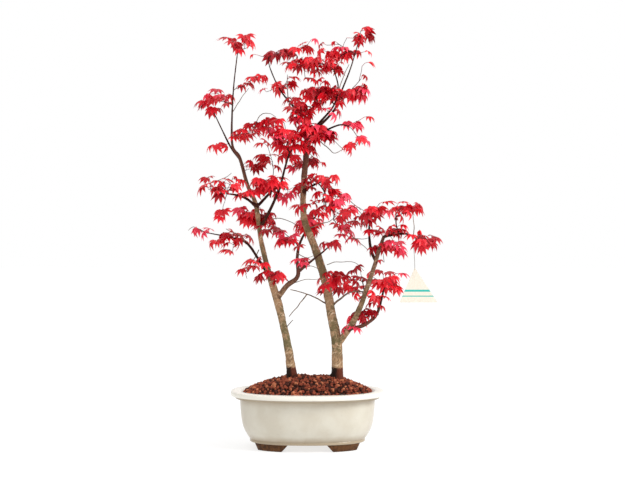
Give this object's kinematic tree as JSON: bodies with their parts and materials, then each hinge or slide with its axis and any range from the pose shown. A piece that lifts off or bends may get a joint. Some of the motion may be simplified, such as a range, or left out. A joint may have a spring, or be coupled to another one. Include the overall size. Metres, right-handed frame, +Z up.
{
  "type": "potted bonsai maple tree",
  "caption": "Twin-trunk bonsai maple with thin pads of crimson leaves, rooted in grit in an oval ivory glazed pot on low clay feet, with a blank card tag.",
  "frame": {"origin": "centre of the pot's footprint on the surface that its feet stand on", "axes": "+Z up, the way the trunks grow; +X to the right along the pot's long side; +Y to the back, so the plant is seen from -Y"},
  "size_m": [0.447, 0.241, 0.738],
  "materials": {
    "pot_glaze": "gloss",
    "foot_clay": "matte",
    "soil_grains": "matte",
    "bark": "matte",
    "foliage": "matte",
    "tag_card": "matte",
    "tag_thread": "matte"
  },
  "bodies": {
    "root": {"bough_centre_front": "bark", "bough_left_crossing": "bark", "bough_left_fork": "bark", "bough_left_high_back": "bark", "bough_left_inner_back": "bark", "bough_left_inner_front": "bark", "bough_left_low_back": "bark", "bough_left_side_front": "bark", "bough_right_high_front": "bark", "bough_right_inward": "bark", "bough_right_low": "bark", "bough_right_main": "bark", "bough_right_tip": "bark", "foliage_centre_back": "foliage", "foliage_centre_front": "foliage", "foliage_centre_high": "foliage", "foliage_centre_left_front": "foliage", "foliage_centre_low": "foliage", "foliage_far_left": "foliage", "foliage_far_right": "foliage", "foliage_leader_left": "foliage", "foliage_left_fork": "foliage", "foliage_left_high_inner": "foliage", "foliage_left_high_outer": "foliage", "foliage_left_inner": "foliage", "foliage_left_low": "foliage", "foliage_left_lowest": "foliage", "foliage_left_mid": "foliage", "foliage_left_side": "foliage", "foliage_left_small": "foliage", "foliage_left_stem": "foliage", "foliage_right_high": "foliage", "foliage_right_inner": "foliage", "foliage_right_low": "foliage", "foliage_right_lowest": "foliage", "foliage_right_mid": "foliage", "foliage_right_outer": "foliage", "foliage_right_top": "foliage", "foliage_top_back": "foliage", "foliage_top_front": "foliage", "foliage_top_left": "foliage", "foliage_top_right": "foliage", "foliage_top_tip": "foliage", "foliage_trunk_left": "foliage", "foliage_trunk_mid": "foliage", "foliage_trunk_right_low": "foliage", "foliage_upper_centre": "foliage", "foot_back_left": "foot_clay", "foot_back_right": "foot_clay", "foot_front_left": "foot_clay", "foot_front_right": "foot_clay", "leader_left": "bark", "leader_middle": "bark", "leader_right": "bark", "left_trunk": "bark", "pot": "pot_glaze", "right_trunk": "bark", "soil": "soil_grains", "tag": "tag_card", "tag_string": "tag_thread"}
  },
  "joints": []
}
